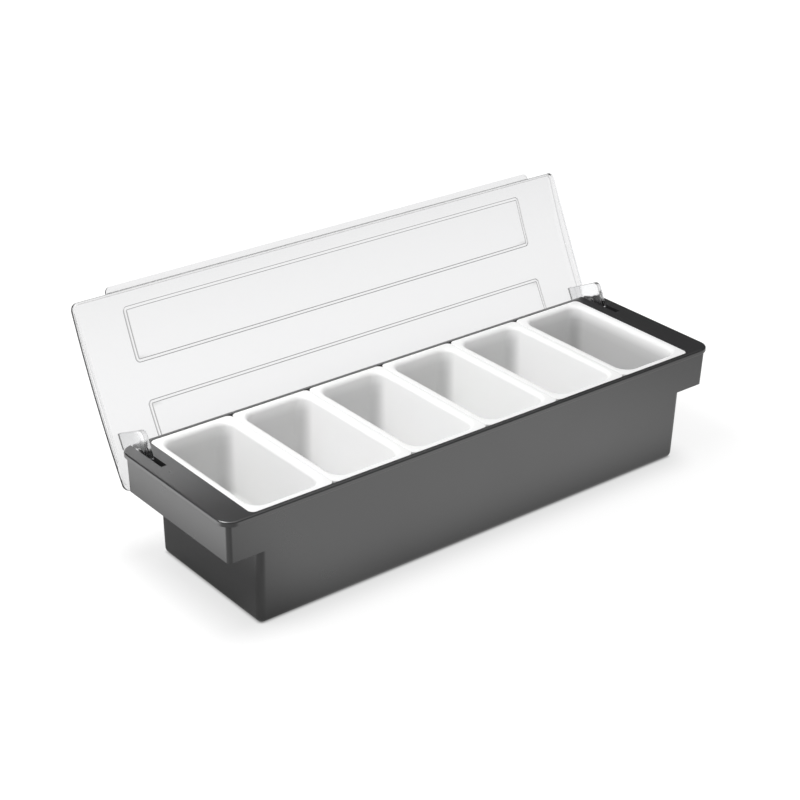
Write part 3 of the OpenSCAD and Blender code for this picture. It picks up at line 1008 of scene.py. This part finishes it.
# Dark lines are painted into the lid's tint where its surface turns, on the field borders and at
# its edges.
lid_places = closed(mesh_rows(lid.data.vertices, "co"))
on_panel = ((np.abs(lid_places[:, 0]) < lid_half_length - edge_width)
            & (np.abs(lid_places[:, 1]) < lid_half_depth - edge_width))
paint_edge_lines_and_haze(
    lid, (0, math.sin(lid_open), math.cos(lid_open)), clear_share,
    np.where(on_panel, painted_border_share, painted_edge_share), lid_haze,
    np.where(on_panel, lid_haze, lid_edge_haze))
dress(lid, clear_plastic("clear_lid", lid_colour, lid_bending))
lid.visible_shadow = False
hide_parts("lid_panel")
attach(lid, "lid")

# Hinge arms. A hooked arm of clear plastic is bonded under either end of the lid. It reaches
# down through its slot and back to a hub that turns on a pin.
arm_thickness = 0.004
arm_limb = 0.0135
arm_reach = 0.0289
arm_drop = 0.0345
arm_foot = 0.013
arm_corner = 0.005
arm_throat = 0.0025
hub_radius = 0.0065
neck_rise = 0.8
neck_run = 0.6
neck_share = 1.6
arm_bore = 0.00208
bond_gap = 0.00002
arm_colour = (0.97, 0.975, 0.98)
arm_bending = 1.35
arm_share = 0.95
# Painted dark lines at the arm's edges.
arm_painted_edge_share = 0.45
arm_haze = 0.17
arm_edge_haze = 0.35


def arc(middle_y, middle_z, radius, start, end, steps):
    """Points on a circle between two angles, in degrees, in the plane of Y and Z: the middle plus
    the radius times the angle's cosine and sine."""
    angle = np.radians(np.linspace(start, end, steps))
    return np.stack([middle_y + radius * np.cos(angle), middle_z + radius * np.sin(angle)], axis=1)


arm_front = pivot_y - arm_reach
arm_back = arm_front + arm_limb
arm_low = lid_seat - arm_drop
foot_top = arm_low + arm_foot
under_front = arch_height(arm_front, lid_thickness) - bond_gap
under_back = arch_height(arm_back, lid_thickness) - bond_gap
neck_low = math.degrees(math.atan2(-neck_rise, neck_run))
arm_outline = np.concatenate([
    [[arm_front, under_front]],
    arc(arm_front + arm_corner, arm_low + arm_corner, arm_corner, 180, 270, steps=10),
    [[pivot_y - hub_radius, arm_low]],
    arc(pivot_y, pivot_z, hub_radius, neck_low, 180 + neck_low, steps=28),
    [[pivot_y - neck_share * hub_radius, foot_top]],
    arc(arm_back + arm_throat, foot_top + arm_throat, arm_throat, 270, 180, steps=7),
    [[arm_back, under_back]],
])
clear_arm = clear_plastic("clear_arm", arm_colour, arm_bending)
for node, side in (("hinge_arm_left", -1), ("hinge_arm_right", 1)):
    arm_rings = [
        np.column_stack([np.full(len(arm_outline), side * arm_x + shift), arm_outline])
        for shift in (-arm_thickness / 2, arm_thickness / 2)
    ]
    arm_points, arm_faces = skin_over(arm_rings)
    arm = new_piece(node + "_hook", opened(arm_points), arm_faces)
    bore = rod("arm_bore", side * arm_x - arm_thickness, side * arm_x + arm_thickness,
               pivot_y, pivot_z, arm_bore)
    combine(arm, bore, "DIFFERENCE")
    soften(arm, clear_softness, clear_sharpest)
    # Dark lines are painted into the arm's tint where it turns.
    paint_edge_lines_and_haze(arm, (1, 0, 0), arm_share, arm_painted_edge_share, arm_haze, arm_edge_haze)
    dress(arm, clear_arm)
    arm.visible_shadow = False
    arm.visible_glossy = False
    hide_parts(node)
    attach(arm, "lid")

# Hinge pins. A short dowel of turned steel sits in the webs on either side of each slot, with a
# small chamfer at both ends.
pin_chamfer = 0.0003
pin_sides = 48
steel_colour = (0.6, 0.6, 0.61, 1)
steel_roughness = 0.28
ring_scale = 900
ring_distortion = 1
ring_strength = 0.2
ring_height = 0.00002


def turned_steel(name):
    """Turned steel: fine rings round the pin in relief, and a satin shine."""
    finish, tree, shader = new_finish(name)
    shader.inputs["Base Color"].default_value = steel_colour
    shader.inputs["Metallic"].default_value = 1
    shader.inputs["Roughness"].default_value = steel_roughness
    place = tree.nodes.new("ShaderNodeTexCoord")
    rings = tree.nodes.new("ShaderNodeTexWave")
    rings.bands_direction = "X"
    rings.inputs["Scale"].default_value = ring_scale
    rings.inputs["Distortion"].default_value = ring_distortion
    tree.links.new(place.outputs["Object"], rings.inputs["Vector"])
    raise_relief(tree, shader, rings.outputs["Fac"], ring_strength, ring_height)
    return finish


steel = turned_steel("turned_steel")
for node in ("hinge_pin_left", "hinge_pin_right"):
    low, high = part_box(node)
    radius = (high.z - low.z) / 2
    angle = np.linspace(0, 2 * np.pi, pin_sides, endpoint=False)
    pin_rings = [
        np.column_stack([
            np.full(pin_sides, x), pivot_y + r * np.cos(angle), pivot_z + r * np.sin(angle)])
        for x, r in ((low.x, radius - pin_chamfer), (low.x + pin_chamfer, radius),
                     (high.x - pin_chamfer, radius), (high.x, radius - pin_chamfer))
    ]
    pin = new_piece(node + "_dowel", *skin_over(pin_rings))
    shade(pin)
    dress(pin, steel)
    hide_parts(node)
    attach(pin, "housing_body")
